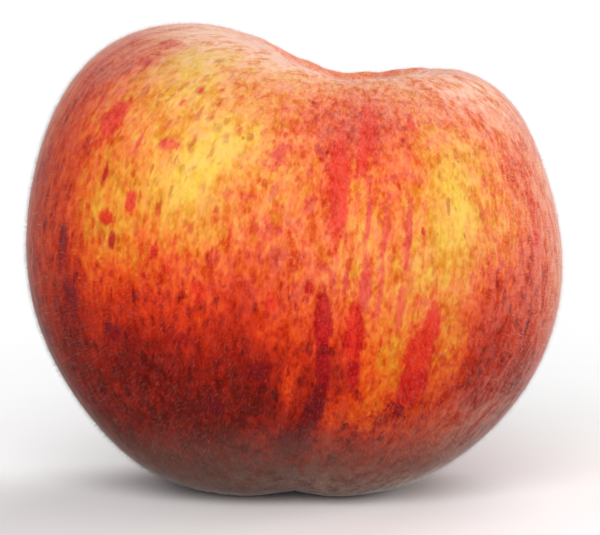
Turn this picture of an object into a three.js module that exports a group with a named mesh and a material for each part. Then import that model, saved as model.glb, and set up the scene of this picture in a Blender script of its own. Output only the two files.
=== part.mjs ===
import * as THREE from "three";
import { mergeVertices } from "three/addons/utils/BufferGeometryUtils.js";

// A whole ripe nectarine, one solid: the fruit with its stem cavity, its suture and its blossom end.
// Millimetres, +Z up. The fruit stands on the low skin round its blossom end, which is pressed to a small flat spot.
// The origin is on that flat spot's plane, under the middle of the fruit's width and depth.
// The suture faces -Y. The two cheeks face -X and +X, and the left one hangs a little lower and wider.

// ---- The body: distances from the core to the skin, before any hollow is pressed in.
const core = new THREE.Vector3(4, -0.3, 30.5);
const leanDeg = 8; // the stem-to-blossom axis leans this far towards +X
// The outline from cheek to cheek is a round about the core with swells on it. A swell's middle and spread are
// in degrees, from the right cheek over the top to the left cheek and under, and it stands this far out.
const roundRadius = 31;
const swells = [
  { middle: -7, out: 1, spread: 28 }, // the right cheek
  { middle: 42, out: 1.3, spread: 16 }, // the right shoulder
  { middle: 95, out: -4, spread: 29 }, // the dip between the shoulders
  { middle: 135, out: 3.9, spread: 24 }, // the left shoulder, the highest place
  { middle: 171, out: 8.7, spread: 60 }, // the left cheek, which is farther from the core
  { middle: 231, out: 1.7, spread: 19 }, // low on the left
  { middle: 293, out: 0.5, spread: 18 }, // low on the right
];
const frontRadius = 34.8; // towards the suture
const backRadius = 34.2;
const fullness = 2.25; // 2 is an ellipse from cheek to front or back, more is squarer

// ---- The stem cavity, a funnel on the axis.
const cavity = { depth: 9.5, acrossCheeks: 9, alongSuture: 8.5 };
const backSaddle = { depth: 2, halfWidth: 9 }; // the cavity's rim dips behind, as it does at the suture

// ---- The suture, a valley down the front: wide and shallow at the rim, narrow below.
const sutureDepth = { rim: 1.6, middle: 1.1, base: 0.9 };
const sutureHalfWidth = { rim: 8, base: 4 };

// ---- The blossom end, a dimple with the dry point that the flower's style leaves.
const dimple = { depth: 1.8, radius: 6 };
const point = { height: 0.7, radius: 1.1 };

// ---- Slow unevenness of the skin: each wave is a direction, how many radians it turns across the core, and its phase.
const waveHeight = 0.14;
const waves = [
  { way: [0.8, 0.3, 0.5], turns: 5.2, phase: 0.4 },
  { way: [-0.4, 0.8, 0.4], turns: 6.1, phase: 2.1 },
  { way: [0.1, -0.5, 0.9], turns: 5.6, phase: 4.0 },
];

// ---- Mesh: lines are closer together near the suture.
const around = 84;
const rings = 46;
const sutureCrowding = 0.45;

const radians = THREE.MathUtils.degToRad;
const smooth = (low, high, x) => THREE.MathUtils.smoothstep(x, low, high);
const bell = (x, width) => Math.exp(-((x / width) ** 2));

/** The cheek outline at angle psi: the round, and each swell as a bell over the angle from its middle. */
function cheekRadius(psi) {
  return swells.reduce((sum, { middle, out, spread }) => {
    const turn = THREE.MathUtils.euclideanModulo(THREE.MathUtils.radToDeg(psi) - middle + 180, 360) - 180;
    return sum + out * bell(turn, spread);
  }, roundRadius);
}

/** How deep the suture and the saddle behind the cavity press in, theta from the stem, u across and v back. */
function valleyDepth(theta, direction, u) {
  const below = smooth(0.35, 1.3, theta);
  const low = smooth(1.6, 2.5, theta);
  const depth =
    sutureDepth.rim * (1 - below) + sutureDepth.middle * below * (1 - low) + sutureDepth.base * low;
  const halfWidth = THREE.MathUtils.lerp(
    sutureHalfWidth.rim,
    sutureHalfWidth.base,
    smooth(0.8, 2.6, theta),
  );
  const front = smooth(0, 0.35, -direction.y) * depth * bell(u, halfWidth);
  const back = smooth(0, 0.35, direction.y) * (1 - smooth(0.5, 1.4, theta));
  return front + back * backSaddle.depth * bell(u, backSaddle.halfWidth);
}

/** The slow unevenness in one direction from the core. */
function unevenness(direction) {
  return waves.reduce((sum, { way, turns, phase }) => {
    const along = direction.dot(new THREE.Vector3(...way));
    return sum + waveHeight * Math.sin(turns * along + phase);
  }, 0);
}

/** A point of the skin. theta is measured from the stem end, and phi round the axis from the suture towards +X. */
function skinPoint(theta, phi) {
  const lean = new THREE.Quaternion().setFromAxisAngle(
    new THREE.Vector3(0, 1, 0),
    radians(leanDeg),
  );
  const inFruit = new THREE.Vector3(
    Math.sin(theta) * Math.sin(phi),
    -Math.sin(theta) * Math.cos(phi),
    Math.cos(theta),
  );
  const d = inFruit.clone().applyQuaternion(lean);

  // The cheek outline and the depth are blended as in a superellipse.
  const acrossShare = Math.hypot(d.x, d.z) / cheekRadius(Math.atan2(d.z, d.x));
  const depthShare = Math.abs(d.y) / (d.y < 0 ? frontRadius : backRadius);
  const full = (acrossShare ** fullness + depthShare ** fullness) ** (-1 / fullness);
  const radius = full - valleyDepth(theta, d, full * inFruit.x) + unevenness(d);

  // The hollows at the two ends are pressed in along the axis.
  const p = inFruit.clone().multiplyScalar(radius);
  const fromAxis = Math.hypot(p.x, p.y);
  const funnel = bell(p.x, cavity.acrossCheeks) * bell(p.y, cavity.alongSuture);
  p.z -= (1 - smooth(1.0, 1.5, theta)) * cavity.depth * funnel;
  const blossom = dimple.depth * bell(fromAxis, dimple.radius) - point.height * bell(fromAxis, point.radius);
  p.z += smooth(1.9, 2.4, theta) * blossom;

  p.applyQuaternion(lean).add(core);
  p.z = Math.max(p.z, 0); // the flat spot that the fruit rests on
  return p;
}

/** A sphere's grid with each vertex moved to the skin, closed at its seam and its poles. */
function fruitGeometry() {
  const sphere = new THREE.SphereGeometry(1, around, rings);
  const { position, uv } = sphere.attributes;
  for (let i = 0; i < position.count; i++) {
    const turn = 2 * Math.PI * uv.getX(i);
    const theta = Math.PI * (1 - uv.getY(i));
    const p = skinPoint(theta, turn - sutureCrowding * Math.sin(turn));
    position.setXYZ(i, p.x, p.y, p.z);
  }
  sphere.deleteAttribute("normal");
  sphere.deleteAttribute("uv");
  const closed = mergeVertices(sphere, 1e-3);
  closed.computeVertexNormals();
  return closed;
}

const skin = new THREE.MeshStandardMaterial({ color: 0xd4582a, roughness: 0.7, metalness: 0 });
const fruit = new THREE.Mesh(fruitGeometry(), skin);
fruit.name = "fruit";

const nectarine = new THREE.Group();
nectarine.add(fruit);

export default nectarine;
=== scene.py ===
"""The finish of a whole ripe nectarine: skin with its ground colour, blush, streaks and flecks, and its down.

The skin is one fine surface from the same formula as the solid, and it replaces the solid.
Lengths in the formulas are millimetres, and they become metres where a mesh is made.
Fruit angles: theta is measured from the stem end, and phi round the axis from the suture towards +X.
"""

import math

import bpy
import numpy as np
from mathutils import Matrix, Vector


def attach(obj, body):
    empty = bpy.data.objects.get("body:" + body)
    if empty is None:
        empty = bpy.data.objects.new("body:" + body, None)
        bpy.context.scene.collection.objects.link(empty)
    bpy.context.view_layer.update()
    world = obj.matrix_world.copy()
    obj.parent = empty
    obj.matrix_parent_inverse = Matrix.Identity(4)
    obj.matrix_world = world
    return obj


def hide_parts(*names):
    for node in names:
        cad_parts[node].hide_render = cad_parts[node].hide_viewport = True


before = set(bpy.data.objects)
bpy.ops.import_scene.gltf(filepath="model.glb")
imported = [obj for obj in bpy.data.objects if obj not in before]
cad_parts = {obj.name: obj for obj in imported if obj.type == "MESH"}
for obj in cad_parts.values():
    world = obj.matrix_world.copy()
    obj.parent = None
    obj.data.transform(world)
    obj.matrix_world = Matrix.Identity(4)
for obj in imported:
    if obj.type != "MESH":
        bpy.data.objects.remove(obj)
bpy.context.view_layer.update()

MM = 0.001

# ---------------------------------------------------------------- the form, as in the solid

CORE = (4.0, -0.3, 30.5)
LEAN = math.radians(8.0)
ROUND_RADIUS = 31.0
# (middle, out, spread) of each swell of the cheek outline, in degrees, mm and degrees, as in the solid
SWELLS = (
    (-7, 1.0, 28),      # the right cheek
    (42, 1.3, 16),      # the right shoulder
    (95, -4.0, 29),     # the dip between the shoulders
    (135, 3.9, 24),     # the left shoulder
    (171, 8.7, 60),     # the left cheek
    (231, 1.7, 19),     # low on the left
    (293, 0.5, 18),     # low on the right
)
FRONT_RADIUS = 34.8
BACK_RADIUS = 34.2
FULLNESS = 2.25

CAVITY_DEPTH, CAVITY_ACROSS, CAVITY_ALONG = 9.5, 9.0, 8.5
SADDLE_DEPTH, SADDLE_HALF_WIDTH = 2.0, 9.0
SUTURE_RIM, SUTURE_MIDDLE, SUTURE_BASE = 1.6, 1.1, 0.9
SUTURE_RIM_WIDTH, SUTURE_BASE_WIDTH = 8.0, 4.0
DIMPLE_DEPTH, DIMPLE_RADIUS = 1.8, 6.0
POINT_HEIGHT, POINT_RADIUS = 0.7, 1.1

WAVE_HEIGHT = 0.14
# (way, turns, phase) of each wave of the skin's unevenness: its direction and two angles in radians
WAVES = (
    ((0.8, 0.3, 0.5), 5.2, 0.4),
    ((-0.4, 0.8, 0.4), 6.1, 2.1),
    ((0.1, -0.5, 0.9), 5.6, 4.0),
)

# ---------------------------------------------------------------- fine relief, only here

CREASE_DEPTH, CREASE_HALF_WIDTH = 0.16, 0.5     # the fine line at the bottom of the suture
CREASE_WANDERS = ((0.35, 7.0, 0.6), (0.2, 17.0, 0.0))   # its sines to and fro: mm, turns and phase
FURROW_HEIGHT = 0.10                            # faint furrows that run out of the stem cavity
FURROWS_ROUND, FINER_FURROWS_ROUND = 11, 23
PEBBLE_HEIGHT = 0.03                            # low bumps, 3 to 4 mm apart, all over the skin
SCAR_RADIUS = 2.6                               # the dry scar that the stem left, and its rim and middle
SCAR_LIP_HEIGHT, SCAR_LIP_WIDTH = 0.35, 0.35
SCAR_BOWL_DEPTH, SCAR_BOWL_WIDTH = 0.5, 1.82

AROUND = 440            # points round the axis
RINGS = 224             # steps from pole to pole
CROWDING = 0.35         # how far the meridians are drawn together near the suture
MEAN_RADIUS = 33.0      # turns angles into lengths along the skin


def smooth(low, high, x):
    """0 below low, 1 above high, and 3t^2 - 2t^3 between them."""
    t = np.clip((x - low) / (high - low), 0.0, 1.0)
    return t * t * (3.0 - 2.0 * t)


def bell(x, width):
    """e to the minus (x / width) squared."""
    return np.exp(-((x / width) ** 2))


def cheek_radius(psi):
    """The round of the cheek outline, and each swell as a bell over the angle from its middle."""
    total = np.full_like(psi, ROUND_RADIUS)
    for middle, out, spread in SWELLS:
        total += out * bell((np.degrees(psi) - middle + 180.0) % 360.0 - 180.0, spread)
    return total


def valley_depth(theta, dy, u):
    """How deep the suture and the saddle behind the stem cavity press in.

    dy is the direction's part towards the back, and u the distance across. Both valleys are bells over u.
    """
    below = smooth(0.35, 1.3, theta)
    low = smooth(1.6, 2.5, theta)
    depth = SUTURE_RIM * (1 - below) + SUTURE_MIDDLE * below * (1 - low) + SUTURE_BASE * low
    half_width = SUTURE_RIM_WIDTH + (SUTURE_BASE_WIDTH - SUTURE_RIM_WIDTH) * smooth(0.8, 2.6, theta)
    front = smooth(0, 0.35, -dy) * depth * bell(u, half_width)
    behind = smooth(0, 0.35, dy) * (1 - smooth(0.5, 1.4, theta))
    return front + behind * SADDLE_DEPTH * bell(u, SADDLE_HALF_WIDTH)


def unevenness(dx, dy, dz):
    """The slow unevenness: the sum of the waves, each a sine of the direction's part along the wave's way."""
    total = np.zeros_like(dx)
    for way, turns, phase in WAVES:
        total += WAVE_HEIGHT * np.sin(turns * (dx * way[0] + dy * way[1] + dz * way[2]) + phase)
    return total


def fine_relief(theta, u, v, w):
    """Millimetres out of the skin: sines for the furrows and the pebbles, less a bell for the crease.

    The crease follows the suture's middle and wanders a little from side to side.
    """
    front = smooth(0.0, 8.0, -v)
    wander = sum(out * np.sin(theta * turns + phase) for out, turns, phase in CREASE_WANDERS)
    crease = CREASE_DEPTH * front * bell(u - wander, CREASE_HALF_WIDTH)
    phi = np.arctan2(u, -v)
    in_cavity = smooth(0.10, 0.30, theta) * (1 - smooth(0.45, 0.95, theta))
    ribbing = np.sin(FURROWS_ROUND * phi + 1.3 * np.sin(2 * phi))
    ribbing = ribbing + 0.6 * np.sin(FINER_FURROWS_ROUND * phi + 2.0)
    pebbles = np.sin(u * 1.9 + 0.7 * v) * np.sin(v * 1.7 - 0.5 * w) * np.sin(w * 1.6 + 0.4 * u)
    return FURROW_HEIGHT * in_cavity * ribbing + PEBBLE_HEIGHT * pebbles - crease


def end_hollows(theta, u, v):
    """Millimetres up the axis, from bells: the cavity with its scar, and the dimple with its point."""
    from_axis = np.hypot(u, v)
    cavity = CAVITY_DEPTH * bell(u, CAVITY_ACROSS) * bell(v, CAVITY_ALONG)
    lip = SCAR_LIP_HEIGHT * bell(from_axis - SCAR_RADIUS, SCAR_LIP_WIDTH)
    scar = lip - SCAR_BOWL_DEPTH * bell(from_axis, SCAR_BOWL_WIDTH)
    dimple = DIMPLE_DEPTH * bell(from_axis, DIMPLE_RADIUS) - POINT_HEIGHT * bell(from_axis, POINT_RADIUS)
    stem_end = (1 - smooth(0.6, 0.8, theta)) * scar - (1 - smooth(1.0, 1.5, theta)) * cavity
    return stem_end + smooth(1.9, 2.4, theta) * dimple


def skin_point(theta, phi):
    """The skin's points for whole arrays of angles, in mm.

    The cheek outline and the depth are blended as a superellipse, (across^n + depth^n)^(-1/n). The valleys
    are taken off that radius, and the waves and the fine relief are added to it. The hollows at both ends go
    along the axis, and the base is cut off flat at height 0.
    """
    cos_lean, sin_lean = math.cos(LEAN), math.sin(LEAN)
    fu = np.sin(theta) * np.sin(phi)
    fv = -np.sin(theta) * np.cos(phi)
    fw = np.cos(theta)
    dx, dy, dz = fu * cos_lean + fw * sin_lean, fv, fw * cos_lean - fu * sin_lean

    across = np.hypot(dx, dz) / cheek_radius(np.arctan2(dz, dx))
    depth = np.abs(dy) / np.where(dy < 0, FRONT_RADIUS, BACK_RADIUS)
    full = (across ** FULLNESS + depth ** FULLNESS) ** (-1 / FULLNESS)
    radius = full - valley_depth(theta, dy, full * fu) + unevenness(dx, dy, dz)
    radius = radius + fine_relief(theta, radius * fu, radius * fv, radius * fw)

    u, v, w = radius * fu, radius * fv, radius * fw
    w = w + end_hollows(theta, u, v)
    x = u * cos_lean + w * sin_lean + CORE[0]
    y = v + CORE[1]
    z = np.maximum(w * cos_lean - u * sin_lean + CORE[2], 0.0)
    return np.stack([x, y, z], axis=-1)


# ---------------------------------------------------------------- markings: soft amounts of red over the skin, and painted sheen and painted shade

def oval(theta, phi, where, size, tilt=0.0, edge=1.0):
    """1 inside an oval on the skin and 0 outside it: e to the minus (distance squared) to the power edge.

    where is (phi, theta) in degrees. size is half the width and half the height in mm, and tilt turns the top
    of the oval towards +X, in degrees. A higher edge gives a crisper border.
    """
    turn = (phi - math.radians(where[0]) + math.pi) % (2 * math.pi) - math.pi
    side = turn * MEAN_RADIUS * np.sin(theta)
    down = (theta - math.radians(where[1])) * MEAN_RADIUS
    c, s = math.cos(math.radians(tilt)), math.sin(math.radians(tilt))
    a = (side * c + down * s) / size[0]
    b = (down * c - side * s) / size[1]
    return np.exp(-((a * a + b * b) ** edge))


# Where the blush is thin or thick: ((phi, theta), (half width, half height), tilt, amount of red).
PATCHES = (
    # the large peach-yellow patch, upper left, its yellow core and its orange tail down the left
    ((-36, 62), (15, 12), 0, -0.26),
    ((-28, 67), (3.0, 4.4), 25, -0.32),
    ((-33, 76), (3.4, 3.2), 20, -0.16),
    ((-47, 48), (4, 3.5), 0, -0.22),
    ((-24, 50), (8, 5), 0, -0.05),
    ((-42, 55), (4, 4), 0, -0.08),
    ((-17, 68), (4, 5), 0, -0.10),
    ((-43, 60), (5, 5), 0, -0.05),
    ((-14, 62), (6, 6), 0, -0.04),
    ((-30, 82), (6, 4), 0, -0.11),
    ((-46, 84), (4, 7), 0, -0.18),
    ((-42, 96), (4, 5), 0, 0.08),
    # the yellow patch on the right
    ((28, 68), (5.5, 12), -2, -0.34),
    ((27, 73), (2.5, 4), 0, -0.14),
    ((43, 72), (5, 8), 0, -0.13),
    ((38, 90), (5, 7), 0, 0.15),
    ((22, 80), (4, 8), 0, -0.13),
    # paler skin along the suture
    ((15, 105), (2.8, 6), 6, -0.28),
    ((29, 100), (2.6, 6), 0, -0.16),
    ((14, 84), (4, 8), 0, -0.13),
    ((5, 72), (3, 6), 0, -0.10),
    ((-7, 78), (4, 4), 0, -0.07),
    ((4, 86), (4, 4), 0, -0.12),
    ((10, 118), (5, 4), 0, -0.20),
    ((-5, 114), (0.9, 4), 0, -0.20),
    ((2, 99), (7, 5), 0, -0.10),
    # round the stem cavity
    ((48, 37), (14, 6), 0, -0.12),
    ((-56, 37), (16, 7), 0, -0.16),
    ((-36, 40), (12, 5), 0, -0.16),
    ((2, 54), (10, 6), 0, 0.12),
    ((-8, 46), (12, 6), 0, 0.06),
    ((-22, 47), (8, 4), 0, 0.05),
    # deep blush
    ((-28, 117), (15, 8), -6, 0.14),
    ((-17, 109), (4, 5), 0, -0.05),
    ((-31, 111), (4, 4), 0, 0.06),
    ((-57, 96), (3, 9), 0, 0.16),
    ((-12, 101), (6, 6), 0, 0.08),
    ((38, 103), (4, 6), 0, 0.10),
    ((50, 103), (5, 6), 0, 0.06),
    ((50, 82), (3.5, 7), 0, 0.16),
    ((32, 117), (7, 7), 0, -0.18),
    ((-60, 52), (3, 3), 0, 0.10),
    ((-66, 70), (6, 14), 0, 0.20),
    ((27, 102), (3.0, 4.5), 0, -0.14),
    ((-30, 131), (17, 9), 0, 0.09),
    ((32, 133), (10, 6), 0, -0.07),
    ((-9, 60), (7, 8), 0, 0.05),
    ((-20, 92), (7, 5), 0, 0.05),
    ((-54, 88), (5, 7), 0, -0.04),
    ((16.5, 98), (0.8, 4.5), -6, -0.06),
    # the sides and the back
    ((150, 70), (15, 14), 12, -0.42),
    ((128, 88), (8, 10), 0, -0.30),
    ((-155, 60), (9, 8), 0, -0.28),
    ((-120, 100), (16, 14), 0, 0.14),
    ((180, 118), (18, 9), 0, 0.12),
    ((95, 62), (8, 7), 0, -0.16),
)

# Where the painted sheen, pale rim light and highlight on the down, is thicker: ((phi, theta), (half width,
# half height), amount).
PAINTED_SHEEN_OVALS = (
    ((80, 97), (14, 17), 0.25),
    ((84, 62), (13, 12), 0.26),
    ((50, 118), (8, 6), 0.22),
    ((50, 38), (13, 7), 0.46),
    ((-60, 33), (14, 8), 0.54),
    ((-40, 32), (8, 5), 0.30),
    ((12, 88), (16, 7), 0.05),
    ((5, 22), (30, 6), 0.16),
    ((-30, 62), (10, 9), 0.06),
    ((150, 60), (18, 14), 0.10),
)

# Where the skin is painted darker, as painted shade on -X: ((phi, theta), (half width, half height), amount).
PAINTED_SHADE_OVALS = (
    ((-80, 82), (12, 26), 0.20),
    ((-64, 51), (7, 7), 0.17),
)

# Crisp marks, most of them red: ((phi, theta), (half width, half height), tilt, redness, strength).
STREAKS = (
    # down the middle, beside the suture
    ((-0.2, 67.5), (1.35, 7.6), -5, 0.675, 1.0),
    ((6.0, 52), (1.10, 4.8), 0, 0.68, 1.0),
    ((4.6, 61), (0.80, 3.0), -4, 0.68, 0.9),
    ((0.6, 98.0), (1.20, 4.6), -6, 0.79, 1.0),
    ((1.8, 107), (1.00, 4.4), -8, 0.85, 0.95),
    ((1.5, 119), (1.50, 4.6), 6, 0.91, 0.80),
    ((-2.5, 128), (3.20, 3.2), 30, 0.92, 0.65),
    ((8.2, 89), (0.80, 4.0), -4, 0.63, 0.85),
    ((8.0, 118), (1.0, 3.2), 0, 0.46, 0.26),
    ((6.0, 126), (1.1, 4.0), 0, 0.42, 0.26),
    ((4.0, 135), (1.1, 4.0), 0, 0.40, 0.26),
    ((7.4, 99), (1.25, 4.0), -6, 0.74, 1.0),
    ((8.8, 108), (0.70, 2.6), -6, 0.80, 0.8),
    ((-3.5, 91), (0.60, 0.9), 0, 0.76, 0.9),
    # the large red mark on the lower right, and its dark foot
    ((23.3, 96), (1.30, 3.2), 0, 0.69, 1.0),
    ((22.4, 101.5), (1.95, 3.8), 0, 0.70, 1.0),
    ((22.6, 108.5), (1.80, 3.4), 0, 0.74, 1.0),
    ((21.5, 116), (1.70, 1.8), -10, 0.85, 0.58),
    ((18, 118), (1.60, 1.5), 0, 0.86, 0.48),
    # thin stripes beside the yellow patch on the right
    ((7.2, 75), (0.45, 4.6), 0, 0.59, 0.7),
    ((11, 76), (0.45, 4.6), 0, 0.58, 0.75),
    ((11.5, 90), (0.40, 4.0), 0, 0.58, 0.75),
    ((16, 77), (0.50, 5.2), 0, 0.60, 0.9),
    ((16, 92), (0.60, 3.6), 0, 0.56, 0.8),
    ((19.5, 80), (0.35, 2.8), 0, 0.54, 0.6),
    ((4.0, 88), (0.45, 2.2), 0, 0.62, 0.8),
    ((18, 51), (0.55, 1.3), 0, 0.70, 0.9),
    ((19, 76), (0.30, 0.5), 0, 0.74, 0.9),
    ((54, 75), (1.30, 6.0), 0, 0.66, 0.5),
    # spots on the upper left
    ((-53, 66), (1.50, 2.6), 8, 0.69, 0.95),
    ((-38, 68), (1.50, 0.80), -10, 0.58, 0.85),
    ((-42.5, 80), (0.75, 1.4), 0, 0.68, 0.9),
    ((-47.5, 84), (1.20, 0.8), 0, 0.70, 0.95),
    ((-45.5, 88), (0.55, 1.0), 0, 0.80, 0.9),
    ((-58, 53), (1.20, 0.9), 0, 0.74, 0.8),
    ((-61, 46), (2.00, 1.5), 0, 0.70, 0.6),
    ((-40, 59), (0.35, 0.7), 0, 0.66, 0.7),
    ((-38, 55), (0.40, 0.6), 0, 0.68, 0.7),
    ((-34, 53), (0.35, 0.6), 0, 0.66, 0.7),
    ((-25, 61), (0.40, 0.8), 0, 0.62, 0.6),
    ((-44.5, 68.5), (0.40, 1.4), 0, 0.66, 0.7),
    ((-50, 76), (0.40, 1.6), 0, 0.76, 0.8),
    ((-36, 88), (0.60, 0.9), 20, 0.72, 0.7),
    ((-33, 91), (0.50, 0.8), 0, 0.70, 0.6),
    ((-15, 64), (1.30, 2.6), 0, 0.58, 0.6),
    ((-14, 80), (1.80, 1.4), 0, 0.62, 0.5),
    # down the left side
    ((-58.5, 91), (0.90, 2.6), 0, 0.86, 0.9),
    ((-56, 100), (1.30, 2.0), 0, 0.88, 0.8),
    ((-45, 106), (1.60, 1.3), 0, 0.88, 0.7),
    ((-22, 119), (1.60, 1.6), 0, 0.92, 0.6),
    ((-29, 105), (2.20, 1.9), 0, 0.86, 0.45),
    ((-12, 110), (1.90, 2.3), 0, 0.89, 0.50),
    ((-26, 95), (1.20, 1.4), 0, 0.70, 0.6),
    ((-11, 95), (0.90, 1.6), 0, 0.69, 0.6),
)

# Where the down is duskier, as painted shade on -X, and, below 0, paler, as painted rim light: ((phi, theta),
# (half width, half height), amount).
DOWN_PAINTED_LIGHT = (
    ((-64, 82), (13, 22), 0.6),
    ((80, 75), (16, 40), -0.6),
    ((-60, 32), (18, 7), -0.5),
)

# The bark at each end is whole up to the first distance from the axis, in mm, and gone past the second.
STEM_BARK = (1.2, 4.4)
BLOSSOM_BARK = (0.5, 2.0)

# The fine random marks, from one side round the back to the other: their number, and the range of each value.
RANDOM_MARKS = 110
RANDOM_PHI, RANDOM_THETA = (68, 292), (40, 125)                 # degrees
RANDOM_HALF_WIDTH, RANDOM_HALF_HEIGHT = (0.3, 0.9), (1.5, 7.0)  # mm
RANDOM_REDDER, RANDOM_RED, RANDOM_STRENGTH = (0.06, 0.22), (0.58, 0.92), (0.4, 0.9)
RANDOM_TILT = 4.0       # degrees, the spread of a normal draw
MARK_EDGE = 1.3         # crisper than the soft patches' edge of 1

# Shares of the whole. The angles in the formulas below are theta, in radians.
EVEN_BLUSH, DEEPER_BELOW, THINNER_AT_STEM = 0.54, 0.26, 0.20
# Painted sheen: a little low down, more above where light falls from above, and painted floor light near the
# floor.
PAINTED_SHEEN_BELOW, MORE_PAINTED_SHEEN_ABOVE, PAINTED_FLOOR_LIGHT = 0.005, 0.100, 0.46
# Painted shade: near the floor, at the blossom end and round the stem.
PAINTED_SHADE_NEAR_FLOOR, PAINTED_SHADE_AT_BLOSSOM, PAINTED_SHADE_AT_STEM = 0.66, 0.16, 0.13


def blush_amount(theta, phi):
    """How much red lies over the ground: an even blush, deeper below, thin at the stem, and the patches."""
    amount = EVEN_BLUSH + DEEPER_BELOW * smooth(1.48, 1.98, theta) - THINNER_AT_STEM * bell(theta, 0.44)
    for where, size, tilt, red in PATCHES:
        amount = amount + red * oval(theta, phi, where, size, tilt)
    return amount


def random_marks():
    """Seeded marks as in STREAKS, each a little redder than the blush beneath it."""
    draw = np.random.default_rng(20)
    marks = []
    for _ in range(RANDOM_MARKS):
        where = (draw.uniform(*RANDOM_PHI), draw.uniform(*RANDOM_THETA))
        size = (draw.uniform(*RANDOM_HALF_WIDTH), draw.uniform(*RANDOM_HALF_HEIGHT))
        under = float(blush_amount(np.radians(where[1]), np.radians(where[0])))
        red = min(max(under + draw.uniform(*RANDOM_REDDER), RANDOM_RED[0]), RANDOM_RED[1])
        marks.append((where, size, draw.normal(0, RANDOM_TILT), red, draw.uniform(*RANDOM_STRENGTH)))
    return marks


def streak_marks(theta, phi):
    """The crisp marks at each point: the strength of the strongest one there, and its redness."""
    strength = np.zeros_like(theta)
    redness = np.full_like(theta, 0.6)
    for where, size, tilt, red, strong in (*STREAKS, *random_marks()):
        here = strong * oval(theta, phi, where, size, tilt, MARK_EDGE)
        redness = np.where(here > strength, red, redness)
        strength = np.maximum(strength, here)
    return strength, redness


def in_front(phi):
    """1 round the suture's side and 0 behind, by the cosine of phi."""
    return smooth(-0.6, 0.5, np.cos(phi))


def painted_sheen_amount(theta, phi, points):
    """How much painted sheen lies on the skin: painted light, less low down and on -X where less light falls,
    painted floor light near the floor in front, and the ovals.
    """
    on_left = bell((phi + 1.0 + np.pi) % (2 * np.pi) - np.pi, 0.40) * smooth(0.95, 1.35, theta)
    painted_sheen = (PAINTED_SHEEN_BELOW + MORE_PAINTED_SHEEN_ABOVE * (1 - smooth(1.30, 1.80, theta))) * (1 - 0.9 * on_left)
    for where, size, amount in PAINTED_SHEEN_OVALS:
        painted_sheen = painted_sheen + amount * oval(theta, phi, where, size)
    near_floor = (1 - smooth(1.0, 7.0, points[:, 2])) * (1 - smooth(2.6, 2.85, theta))
    return painted_sheen + PAINTED_FLOOR_LIGHT * in_front(phi) * near_floor * smooth(-18, 10, points[:, 0])


def painted_shade_amount(theta, phi, points):
    """How much painted shade lies on the skin: a little at both ends, more near the floor and most in front,
    and the ovals.
    """
    low = (1 - smooth(2.0, 14.0, points[:, 2] - 0.06 * points[:, 0])) * (1 - 0.6 * smooth(2.5, 2.8, theta))
    low = low * (0.45 + 0.55 * in_front(phi))
    painted_shade = PAINTED_SHADE_AT_BLOSSOM * smooth(1.95, 2.75, theta) + PAINTED_SHADE_NEAR_FLOOR * low
    painted_shade = painted_shade + PAINTED_SHADE_AT_STEM * (1 - smooth(0.75, 1.15, theta))
    for where, size, amount in PAINTED_SHADE_OVALS:
        painted_shade = painted_shade + amount * oval(theta, phi, where, size)
    return painted_shade


def down_tone_and_painted_light(theta, phi):
    """0 where the down is pale and 1 where it is dusky, which goes with the blush and with the ovals of
    painted shade and painted rim light.
    """
    tone = smooth(0.50, 0.95, blush_amount(theta, phi))
    for where, size, amount in DOWN_PAINTED_LIGHT:
        tone = tone + amount * oval(theta, phi, where, size)
    return tone


def grain_place(theta, phi):
    """Where a point lies in the skin's grain, in mm: on a circle round the axis, and down the meridian.

    The circle's radius is MEAN_RADIUS times the sine of theta to the power 0.6.
    """
    reach = MEAN_RADIUS * np.sin(theta) ** 0.6
    return np.stack([reach * np.cos(phi), reach * np.sin(phi), theta * MEAN_RADIUS], axis=-1)


# ---------------------------------------------------------------- making meshes

def skin_grid():
    """The angles of the skin's grid, without its two poles: rows run from the stem end to the blossom end.

    phi is an even turn less CROWDING times its sine.
    """
    rows = np.pi * np.arange(1, RINGS) / RINGS
    turn = 2 * np.pi * np.arange(AROUND) / AROUND
    theta = np.repeat(rows[:, None], AROUND, axis=1)
    phi = np.repeat((turn - CROWDING * np.sin(turn))[None, :], RINGS - 1, axis=0)
    return theta, phi


def grid_faces(rows, columns):
    """Quads between neighbouring rows, closed round the seam, and a fan of triangles to each pole.

    The poles come after the grid's points, the stem end's first.
    """
    row = np.arange(rows - 1)[:, None] * columns
    column = np.arange(columns)
    beside = (column + 1) % columns
    below = row + columns
    quads = np.stack([row + column, below + column, below + beside, row + beside], axis=-1)
    stem_pole = np.full(columns, rows * columns)
    last_row = (rows - 1) * columns
    top = np.stack([stem_pole, column, beside], axis=-1)
    base = np.stack([stem_pole + 1, last_row + beside, last_row + column], axis=-1)
    return quads.reshape(-1, 4), np.concatenate([top, base])


def mesh_from(name, points, quads, triangles):
    """A smooth-shaded mesh object from arrays of points in mm, quads and triangles."""
    mesh = bpy.data.meshes.new(name)
    corners = np.concatenate([quads.ravel(), triangles.ravel()]).astype(np.int32)
    sizes = np.concatenate([np.full(len(quads), 4), np.full(len(triangles), 3)]).astype(np.int32)
    mesh.vertices.add(len(points))
    mesh.vertices.foreach_set("co", (points * MM).astype(np.float32).ravel())
    mesh.loops.add(len(corners))
    mesh.loops.foreach_set("vertex_index", corners)
    mesh.polygons.add(len(sizes))
    mesh.polygons.foreach_set("loop_start", np.concatenate([[0], np.cumsum(sizes)[:-1]]).astype(np.int32))
    mesh.polygons.foreach_set("use_smooth", np.ones(len(sizes), dtype=bool))
    mesh.update(calc_edges=True)
    mesh.validate()
    piece = bpy.data.objects.new(name, mesh)
    bpy.context.scene.collection.objects.link(piece)
    return piece


def give_values(piece, name, values):
    """Stores one number or one vector for each point of the mesh, for its material to read."""
    kind, field = ("FLOAT", "value") if values.ndim == 1 else ("FLOAT_VECTOR", "vector")
    store = piece.data.attributes.new(name, kind, "POINT")
    store.data.foreach_set(field, values.astype(np.float32).ravel())


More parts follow.
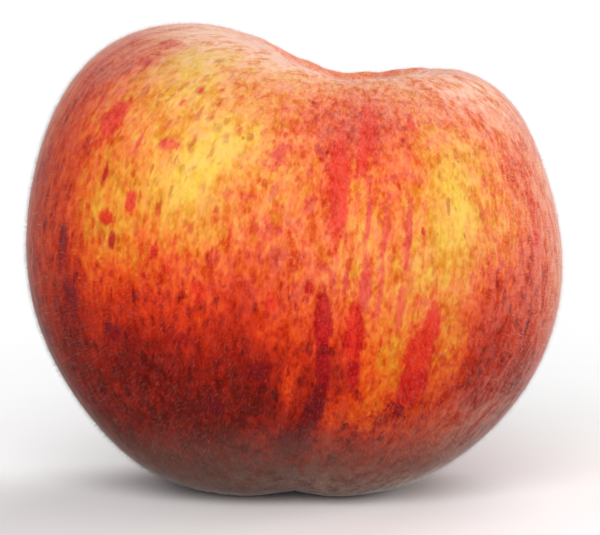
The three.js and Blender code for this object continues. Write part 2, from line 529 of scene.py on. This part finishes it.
def make_skin():
    """The whole skin on one grid, closed at its seam and both poles, with its markings, painted sheen and
    painted shade stored on its points.

    It gives the piece, the points, the quads and the down's tone, with its painted light and shade, at each
    point.
    """
    theta, phi = skin_grid()
    theta = np.concatenate([theta.ravel(), [0.0, np.pi]])
    phi = np.concatenate([phi.ravel(), [0.0, 0.0]])
    points = skin_point(theta, phi)
    quads, triangles = grid_faces(RINGS - 1, AROUND)
    piece = mesh_from("skin", points, quads, triangles)
    give_values(piece, "grain", grain_place(theta, phi))
    give_values(piece, "blush", blush_amount(theta, phi))
    strength, redness = streak_marks(theta, phi)
    give_values(piece, "streak", strength)
    give_values(piece, "streak_red", redness)
    give_values(piece, "painted_sheen", painted_sheen_amount(theta, phi, points))
    give_values(piece, "painted_shade", painted_shade_amount(theta, phi, points))
    from_axis = MEAN_RADIUS * np.sin(theta)
    above = theta < np.pi / 2
    give_values(piece, "stem_end", np.where(above, 1 - smooth(*STEM_BARK, from_axis), 0.0))
    give_values(piece, "blossom_end", np.where(above, 0.0, 1 - smooth(*BLOSSOM_BARK, from_axis)))
    return piece, points, quads, down_tone_and_painted_light(theta, phi)


# ---------------------------------------------------------------- shader helpers

def add_node(tree, kind, values=None, **settings):
    """A node of one kind, with its settings and the values or links of its inputs."""
    node = tree.nodes.new("ShaderNode" + kind)
    for name, value in settings.items():
        setattr(node, name, value)
    for socket, value in (values or {}).items():
        if isinstance(value, bpy.types.NodeSocket):
            tree.links.new(value, node.inputs[socket])
        else:
            node.inputs[socket].default_value = value
    return node


def maths(tree, operation, a, b=0.0, c=0.0):
    """One operation on numbers. MULTIPLY_ADD is a * b + c."""
    return add_node(tree, "Math", {0: a, 1: b, 2: c}, operation=operation).outputs[0]


def vector_maths(tree, operation, a, b):
    """One operation on two vectors, part by part."""
    return add_node(tree, "VectorMath", {0: a, 1: b}, operation=operation).outputs[0]


def remap(tree, value, low, high, to_low=0.0, to_high=1.0, curve="SMOOTHSTEP"):
    """Moves low..high to to_low..to_high, smoothly or LINEAR, and holds the ends beyond."""
    values = {"Value": value, "From Min": low, "From Max": high, "To Min": to_low, "To Max": to_high}
    return add_node(tree, "MapRange", values, interpolation_type=curve).outputs["Result"]


def ramp(tree, value, stops):
    """A colour ramp with (place, linear colour) stops."""
    node = add_node(tree, "ValToRGB", {"Fac": value})
    elements = node.color_ramp.elements
    while len(elements) < len(stops):
        elements.new(0.5)
    for element, (place, colour) in zip(elements, stops):
        element.position = place
        element.color = (*colour, 1.0)
    return node.outputs["Color"]


def mix_colour(tree, factor, a, b, blend="MIX"):
    """Colour a with b over it by factor. Each is a link or a linear colour."""
    a, b = (value if isinstance(value, bpy.types.NodeSocket) else (*value, 1.0) for value in (a, b))
    return add_node(tree, "Mix", {0: factor, 6: a, 7: b}, data_type="RGBA", blend_type=blend).outputs[2]


def stored(tree, name, output="Fac"):
    """What give_values stored on the piece under that name."""
    return add_node(tree, "Attribute", attribute_name=name).outputs[output]


def new_material(name):
    """An empty material and its node tree."""
    material = bpy.data.materials.new(name)
    material.use_nodes = True
    material.node_tree.nodes.clear()
    return material, material.node_tree


def new_group(name, inputs, outputs):
    """A shader node group with named sockets: (name, kind, value)."""
    tree = bpy.data.node_groups.new(name, "ShaderNodeTree")
    for label, kind, value in inputs:
        socket = tree.interface.new_socket(name=label, in_out="INPUT", socket_type="NodeSocket" + kind)
        if value is not None:
            socket.default_value = value
    for label, kind in outputs:
        tree.interface.new_socket(name=label, in_out="OUTPUT", socket_type="NodeSocket" + kind)
    start = tree.nodes.new("NodeGroupInput")
    finish = tree.nodes.new("NodeGroupOutput")
    return tree, start, finish


def place_group(tree, group, values):
    """One use of a node group, with the values or links of its inputs."""
    return add_node(tree, "Group", values, node_tree=group)


# ---------------------------------------------------------------- the skin's material

def fleck_group():
    """Small spots, one in each cell of a Voronoi pattern, each with its own size and strength."""
    tree, start, finish = new_group(
        "flecks",
        [("Place", "Vector", None), ("Per mm", "Float", 1.0),
         ("Along", "Float", 0.5), ("Size", "Float", 0.35)],
        [("Mask", "Float")],
    )
    scale = add_node(tree, "CombineXYZ", {0: 1.0, 1: 1.0, 2: start.outputs["Along"]}).outputs[0]
    place = vector_maths(tree, "MULTIPLY", start.outputs["Place"], scale)
    wobble = add_node(tree, "TexNoise", {"Vector": place, "Scale": 1.3, "Detail": 1.0}).outputs["Color"]
    moved = vector_maths(tree, "ADD", place, wobble)
    cells = add_node(tree, "TexVoronoi", {"Vector": moved, "Scale": start.outputs["Per mm"]})
    own = add_node(tree, "SeparateColor", {"Color": cells.outputs["Color"]})
    reach = maths(tree, "MULTIPLY", start.outputs["Size"], maths(tree, "ADD", own.outputs[0], 0.25))
    inside = maths(tree, "SUBTRACT", 1.0, maths(tree, "DIVIDE", cells.outputs["Distance"], reach))
    mask = maths(tree, "MULTIPLY", remap(tree, inside, 0.0, 0.6), remap(tree, own.outputs[1], 0.2, 0.8))
    tree.links.new(mask, finish.inputs["Mask"])
    return tree


# Noises in the skin's grain: scale to the mm, the share of it along the meridian, detail and roughness.
SKIN_NOISES = {
    "clouds": (0.16, 0.7, 3.0, 0.5),
    "mottle": (1.05, 0.55, 2.0, 0.55),
    "fine": (2.2, 0.6, 2.0, 0.6),
    "threads": (1.3, 0.13, 2.0, 0.5),
    "fuzz": (0.55, 0.6, 3.0, 0.75),
    "cork": (0.42, 0.9, 4.0, 0.7),
}

# Flecks in the skin's grain: per mm, along and size.
SKIN_FLECKS = {
    "dark": (0.85, 0.38, 0.46),
    "small": (1.25, 0.6, 0.62),
}

SKIN_COLOURS = (            # linear colours by redness, from the yellow ground to maroon
    (0.00, (0.84, 0.58, 0.060)),
    (0.20, (0.83, 0.37, 0.028)),
    (0.38, (0.82, 0.20, 0.010)),
    (0.54, (0.80, 0.090, 0.006)),
    (0.70, (0.64, 0.032, 0.004)),
    (0.86, (0.34, 0.012, 0.004)),
    (1.00, (0.15, 0.007, 0.004)),
)
MARK_COLOURS = (            # by redness, purer and cooler than the skin's
    (0.36, (0.42, 0.17, 0.10)),
    (0.50, (0.82, 0.15, 0.030)),
    (0.62, (0.72, 0.072, 0.056)),
    (0.70, (0.76, 0.032, 0.010)),
    (0.76, (0.60, 0.013, 0.010)),
    (0.81, (0.44, 0.006, 0.009)),
    (0.90, (0.20, 0.008, 0.010)),
    (1.00, (0.09, 0.007, 0.010)),
)
BARK_COLOURS = (            # by the cork noise, from dark cracks to pale ridges
    (0.36, (0.06, 0.020, 0.010)),
    (0.50, (0.23, 0.11, 0.05)),
    (0.64, (0.46, 0.28, 0.14)),
)
FLECK_BROWN = (0.58, 0.36, 0.16)
SHADE_COLOUR = (0.60, 0.46, 0.46)
# The grey-brown of the painted shade.
PAINTED_SHADE_COLOUR = (0.265, 0.175, 0.135)
# The pale pink of the painted sheen, light on the down.
PAINTED_SHEEN_COLOUR = (0.81, 0.47, 0.355)

CLOUDS_IN_RED, THREADS_IN_RED, SMALL_FLECKS_IN_RED = 0.36, 0.14, 0.15   # how far each one moves the redness
RAGGED_EDGE, RAGGED_TONE, RAGGED_BARK = 0.34, 0.13, 3.0                 # how far the noises shift each one
MARK_COVER = 0.94           # how much of the skin's colour a mark hides
BUMP_HEIGHT = 0.00008       # metres


def skin_patterns(tree, flecks):
    """The noises and the flecks' masks that the skin's colours share, by name."""
    grain = stored(tree, "grain", "Vector")
    patterns = {}
    for name, (scale, along, detail, rough) in SKIN_NOISES.items():
        place = vector_maths(tree, "MULTIPLY", grain, (scale, scale, scale * along))
        values = {"Vector": place, "Scale": 1.0, "Detail": detail, "Roughness": rough}
        patterns[name] = add_node(tree, "TexNoise", values).outputs["Fac"]
    for name, (per_mm, along, size) in SKIN_FLECKS.items():
        values = {"Place": grain, "Per mm": per_mm, "Along": along, "Size": size}
        patterns[name] = place_group(tree, flecks, values).outputs["Mask"]
    return patterns


def skin_redness(tree, patterns):
    """The stored blush with clouds in it, then mottle where the skin is half red, threads and flecks."""
    clouds = maths(tree, "SUBTRACT", patterns["clouds"], 0.5)
    red = maths(tree, "MULTIPLY_ADD", clouds, CLOUDS_IN_RED, stored(tree, "blush"))
    red = maths(tree, "MAXIMUM", red, 0.06)
    ripe = maths(tree, "MULTIPLY", remap(tree, red, 0.10, 0.42), remap(tree, red, 0.60, 0.85, 1.0, 0.4))
    rising = remap(tree, red, 0.0, 0.45, 0.30, 0.66, "LINEAR")
    patchy = maths(tree, "SUBTRACT", rising, remap(tree, red, 0.45, 0.80, 0.0, 0.34, "LINEAR"))
    mottle = maths(tree, "MULTIPLY_ADD", patterns["fine"], 0.4, patterns["mottle"])
    red = maths(tree, "MULTIPLY_ADD", maths(tree, "SUBTRACT", mottle, 0.70), patchy, red)
    threads = maths(tree, "SUBTRACT", patterns["threads"], 0.5)
    red = maths(tree, "MULTIPLY_ADD", threads, THREADS_IN_RED, red)
    red = maths(tree, "MAXIMUM", red, 0.02)
    # Fewer dark flecks under the painted sheen.
    under_painted_sheen = maths(tree, "MULTIPLY_ADD", stored(tree, "painted_sheen"), -0.6, 0.20)
    red = maths(tree, "MULTIPLY_ADD", patterns["dark"], maths(tree, "MAXIMUM", under_painted_sheen, 0.03), red)
    small = maths(tree, "MULTIPLY", patterns["small"], ripe)
    return maths(tree, "MULTIPLY_ADD", small, SMALL_FLECKS_IN_RED, red)


def skin_ground(tree, patterns, red):
    """The skin's colour by its redness, with brown flecks that are plainest on yellow."""
    spots = maths(tree, "MAXIMUM", patterns["dark"], maths(tree, "MULTIPLY", patterns["small"], 0.6))
    brown = maths(tree, "MULTIPLY", spots, remap(tree, red, 0.1, 0.7, 0.80, 0.12, "LINEAR"))
    return mix_colour(tree, brown, ramp(tree, red, SKIN_COLOURS), FLECK_BROWN, "MULTIPLY")


def add_marks(tree, patterns, colour):
    """The crisp marks with ragged edges, over colour. It gives the colour and how much of it is mark."""
    grainy = maths(tree, "SUBTRACT", maths(tree, "ADD", patterns["mottle"], patterns["fine"]), 1.0)
    edge = maths(tree, "MULTIPLY_ADD", grainy, RAGGED_EDGE, stored(tree, "streak"))
    crisp = maths(tree, "MULTIPLY", remap(tree, edge, 0.13, 0.64), MARK_COVER)
    tone = maths(tree, "MULTIPLY_ADD", grainy, RAGGED_TONE, stored(tree, "streak_red"))
    tone = maths(tree, "MULTIPLY_ADD", patterns["small"], 0.03, tone)
    return mix_colour(tree, crisp, colour, ramp(tree, tone, MARK_COLOURS)), crisp


def add_shade_and_painted_sheen(tree, patterns, colour, red, crisp):
    """Uneven shade from a noise, painted shade and painted sheen over colour. The painted sheen is thinner
    over the crisp marks.
    """
    fuzz = patterns["fuzz"]
    where_red = remap(tree, red, 0.0, 0.35, 0.45, 1.0)
    shade = maths(tree, "MULTIPLY", remap(tree, fuzz, 0.42, 0.66, 0.02, 0.44), where_red)
    colour = mix_colour(tree, shade, colour, SHADE_COLOUR, "MULTIPLY")
    # Painted shade, grey-brown, made uneven by the noise.
    painted_shade = maths(tree, "MULTIPLY", stored(tree, "painted_shade"), remap(tree, fuzz, 0.35, 0.65, 1.15, 0.70, "LINEAR"))
    colour = mix_colour(tree, painted_shade, colour, PAINTED_SHADE_COLOUR)
    # Painted sheen: pale pink painted light, thinner over the crisp marks.
    over_marks = maths(tree, "MULTIPLY_ADD", crisp, -0.65, 1.0)
    painted_sheen = maths(tree, "MULTIPLY", stored(tree, "painted_sheen"), over_marks)
    painted_sheen = maths(tree, "MULTIPLY", painted_sheen, remap(tree, fuzz, 0.34, 0.62, 1.9, 0.2, "LINEAR"))
    return mix_colour(tree, painted_sheen, colour, PAINTED_SHEEN_COLOUR)


def add_bark(tree, patterns, colour):
    """Dry bark over colour at the stem's scar and the blossom's point, with ragged edges."""
    bark = ramp(tree, patterns["cork"], BARK_COLOURS)
    rough = maths(tree, "SUBTRACT", patterns["cork"], 0.5)
    for end in ("stem_end", "blossom_end"):
        near = stored(tree, end)
        ragged = maths(tree, "MULTIPLY_ADD", rough, RAGGED_BARK, near)
        bare = maths(tree, "MULTIPLY", remap(tree, ragged, 0.35, 0.65), remap(tree, near, 0.02, 0.20))
        colour = mix_colour(tree, bare, colour, bark)
    return colour


def skin_material(flecks):
    """Red over a yellow ground, with its marks, its uneven shade, painted shade and painted sheen, and the
    bark of both ends, on soft uneven skin.
    """
    material, tree = new_material("downy nectarine skin")
    patterns = skin_patterns(tree, flecks)
    red = skin_redness(tree, patterns)
    colour, crisp = add_marks(tree, patterns, skin_ground(tree, patterns, red))
    colour = add_bark(tree, patterns, add_shade_and_painted_sheen(tree, patterns, colour, red, crisp))
    coarse = maths(tree, "MULTIPLY", patterns["mottle"], 0.5)
    height = maths(tree, "MULTIPLY_ADD", patterns["fine"], 0.6, coarse)
    bump = add_node(tree, "Bump", {"Strength": 0.35, "Distance": BUMP_HEIGHT, "Height": height})
    shader = add_node(tree, "BsdfPrincipled", {
        "Base Color": colour,
        "Roughness": remap(tree, patterns["mottle"], 0.2, 0.8, 0.62, 0.80, "LINEAR"),
        "Normal": bump.outputs[0],
        "IOR": 1.4,
        "Specular IOR Level": 0.04,
        "Subsurface Weight": 0.12,
        "Subsurface Radius": (1.0, 0.35, 0.15),
        "Subsurface Scale": 0.0012,
        "Sheen Weight": 0.42,
        "Sheen Roughness": 0.22,
        "Sheen Tint": (1.0, 0.93, 0.88, 1.0),
    })
    add_node(tree, "OutputMaterial", {"Surface": shader.outputs[0]})
    return material


# ---------------------------------------------------------------- down

HAIRS = 150000
HAIR_LENGTH = (0.35, 0.75)
HAIR_RADIUS = 0.007
HAIR_SUNK = 0.05                        # how deep a root stands in the skin
HAIR_STRAY, HAIR_DROOP = 0.20, 0.08     # how far a hair leans off the skin's normal, at random and downwards
LEAST_RISE = 0.2                        # a hair that rises less than this share of its length is left out
LOWEST_ROOT, LOWEST_TIP = 1.2, 0.8      # so are those that come nearer the floor, in mm
TONE_SPREAD = 0.08
THIRDS = (0.0, 2.0944, 4.1888)          # the root's three corners, in radians round the hair
NEEDLE = ((0, 2, 1), (0, 1, 3), (1, 2, 3), (2, 0, 3))   # 0 to 2 are the root's corners and 3 is the tip
QUARTERS = ("front_left", "front_right", "back_left", "back_right")

PALE_HAIR = ((0.0, (0.48, 0.16, 0.08)), (1.0, (0.96, 0.88, 0.80)))      # from root to tip
# Dusky hair also stands for painted shade on -X, and pale hair for painted rim light.
DUSKY_HAIR = ((0.0, (0.24, 0.035, 0.02)), (1.0, (0.33, 0.14, 0.10)))


def down_material():
    """Down that is darker at its roots. The hairs' own UV map holds pale to dusky, and root to tip."""
    material, tree = new_material("pale down")
    place = add_node(tree, "UVMap", uv_map="OFBake").outputs[0]
    split = add_node(tree, "SeparateXYZ", {0: place})
    pale = ramp(tree, split.outputs[1], PALE_HAIR)
    dusky = ramp(tree, split.outputs[1], DUSKY_HAIR)
    shader = add_node(tree, "BsdfPrincipled", {
        "Base Color": mix_colour(tree, split.outputs[0], pale, dusky),
        "Roughness": 0.8,
        "Specular IOR Level": 0.1,
        "Subsurface Weight": 1.0,
        "Subsurface Radius": (1.0, 0.9, 0.8),
        "Subsurface Scale": 0.0004,
    })
    add_node(tree, "OutputMaterial", {"Surface": shader.outputs[0]})
    return material


def face_samples(points, quads, count, draw):
    """Random places spread evenly over the quads by area, with the unit normal and one corner at each.

    A place is the mean of the quad's corners, weighted by s across and t along. The normal is the cross
    product of the quad's diagonals, and its length goes with the area.
    """
    a, b, c, d = (points[quads[:, k]] for k in range(4))
    normal = np.cross(c - a, b - d)
    area = np.linalg.norm(normal, axis=1)
    chosen = draw.choice(len(quads), size=count, p=area / area.sum())
    s, t = draw.random((2, count, 1))
    low = a[chosen] * (1 - s) + b[chosen] * s
    high = d[chosen] * (1 - s) + c[chosen] * s
    return low * (1 - t) + high * t, normal[chosen] / area[chosen][:, None], quads[chosen, 0]


def grow_hairs(points, quads, tones):
    """Hairs all over the skin: the three root corners and the tip of each, and its tone.

    A hair's way is the skin's normal plus its lean, less 0.4 of the lean's part along the normal, made unit.
    """
    draw = np.random.default_rng(7)
    root, normal, corner = face_samples(points, quads, HAIRS, draw)
    tone = np.clip(tones[corner] + draw.normal(0, TONE_SPREAD, HAIRS), 0.0, 1.0)
    to_middle = (points.mean(axis=0) - root) * normal
    normal = np.where(to_middle.sum(axis=1, keepdims=True) > 0, -normal, normal)
    lean = draw.normal(0, HAIR_STRAY, (HAIRS, 3)) - np.array([0.0, 0.0, HAIR_DROOP])
    way = normal + lean - 0.4 * (lean * normal).sum(axis=1, keepdims=True) * normal
    way /= np.linalg.norm(way, axis=1, keepdims=True)
    tip = root + way * draw.uniform(*HAIR_LENGTH, (HAIRS, 1))
    clear = (root[:, 2] > LOWEST_ROOT) & (tip[:, 2] > LOWEST_TIP)
    keep = clear & ((way * normal).sum(axis=1) > LEAST_RISE)
    root, way, tip, tone = (root - normal * HAIR_SUNK)[keep], way[keep], tip[keep], tone[keep]
    side = np.cross(way, draw.normal(0, 1, way.shape))
    side /= np.linalg.norm(side, axis=1, keepdims=True)
    other = np.cross(way, side)
    ring = [root + HAIR_RADIUS * (math.cos(a) * side + math.sin(a) * other) for a in THIRDS]
    return np.stack([*ring, tip], axis=1), tone, root


def down_piece(name, corners, tone, material):
    """One piece of down, closed needles of four triangles, with tone and root to tip in its UV map."""
    base = np.arange(len(corners))[:, None] * 4
    triangles = np.concatenate([base + np.array(face) for face in NEEDLE])
    piece = mesh_from(name, corners.reshape(-1, 3), np.zeros((0, 4), int), triangles)
    root_to_tip = np.tile([0.0, 0.0, 0.0, 1.0], len(corners))
    uv_points = np.stack([np.repeat(tone, 4), root_to_tip], axis=-1)
    layer = piece.data.uv_layers.new(name="OFBake")
    index = np.empty(len(piece.data.loops), dtype=np.int32)
    piece.data.loops.foreach_get("vertex_index", index)
    layer.data.foreach_set("uv", uv_points[index].astype(np.float32).ravel())
    piece.data.materials.append(material)
    return piece


# ---------------------------------------------------------------- the fruit

skin, skin_points, skin_quads, tones = make_skin()
skin.data.materials.append(skin_material(fleck_group()))
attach(skin, "root")
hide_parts("fruit")

hairs, hair_tones, roots = grow_hairs(skin_points, skin_quads, tones)
quarter = np.where(roots[:, 1] < 0, 0, 2) + np.where(roots[:, 0] < 0, 0, 1)
pale_down = down_material()
for k, place in enumerate(QUARTERS):
    here = quarter == k
    piece = down_piece("down_" + place, hairs[here], hair_tones[here], pale_down)
    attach(piece, "root")


# ---------------------------------------------------------------- floor, light and camera

FLOOR_HALF_WIDTH = 30000.0


def make_floor():
    """A wide pale floor, which throws little light back up on the fruit."""
    far = FLOOR_HALF_WIDTH
    points = np.array([[-far, -far, 0], [far, -far, 0], [far, far, 0], [-far, far, 0]], dtype=float)
    floor = mesh_from("floor", points, np.array([[0, 1, 2, 3]]), np.zeros((0, 3), int))
    material, tree = new_material("pale floor")
    place = add_node(tree, "TexCoord").outputs["Object"]
    grain = add_node(tree, "TexNoise", {"Vector": place, "Scale": 40.0, "Detail": 2.0}).outputs["Fac"]
    colour = ramp(tree, grain, ((0.0, (0.95, 0.95, 0.95)), (1.0, (0.99, 0.99, 0.99))))
    seen = add_node(tree, "LightPath").outputs["Is Camera Ray"]
    colour = mix_colour(tree, seen, (0.30, 0.30, 0.30), colour)
    matt = {"Base Color": colour, "Roughness": 0.9, "Specular IOR Level": 0.1}
    shader = add_node(tree, "BsdfPrincipled", matt)
    add_node(tree, "OutputMaterial", {"Surface": shader.outputs[0]})
    floor.data.materials.append(material)


def make_sun(name, source, strength, spread):
    """Even soft light from the direction source, spread degrees wide."""
    lamp = bpy.data.lights.new(name, "SUN")
    lamp.energy = strength
    lamp.angle = math.radians(spread)
    holder = bpy.data.objects.new(name, lamp)
    holder.rotation_euler = Vector(source).to_track_quat("Z", "Y").to_euler()
    bpy.context.scene.collection.objects.link(holder)


def make_world(strength):
    """Even white light from all round."""
    world = bpy.data.worlds.new("studio")
    world.use_nodes = True
    background = world.node_tree.nodes["Background"]
    background.inputs["Color"].default_value = (1, 1, 1, 1)
    background.inputs["Strength"].default_value = strength
    bpy.context.scene.world = world


def make_camera(target, elevation, distance, lens):
    """A camera that looks at target from the front, elevation degrees above it."""
    camera = bpy.data.cameras.new("camera")
    camera.lens = lens
    camera.sensor_width = 36.0
    camera.clip_start = 0.01
    holder = bpy.data.objects.new("camera", camera)
    angle = math.radians(elevation)
    back = Vector((0, -math.cos(angle), math.sin(angle)))
    holder.location = Vector(target) + back * distance
    holder.rotation_euler = (-back).to_track_quat("-Z", "Y").to_euler()
    bpy.context.scene.collection.objects.link(holder)
    bpy.context.scene.camera = holder


make_floor()
make_sun("key", source=(-0.07, -1.0, 0.46), strength=2.95, spread=50.0)
make_sun("back", source=(0.5, 1.0, 1.0), strength=1.0, spread=40.0)
make_sun("side", source=(1.0, 0.45, 0.08), strength=2.6, spread=40.0)
make_world(strength=0.36)
make_camera(target=(0.00076, 0.0, 0.02935), elevation=6.0, distance=0.6, lens=270.0)
bpy.context.scene.view_settings.view_transform = "Standard"
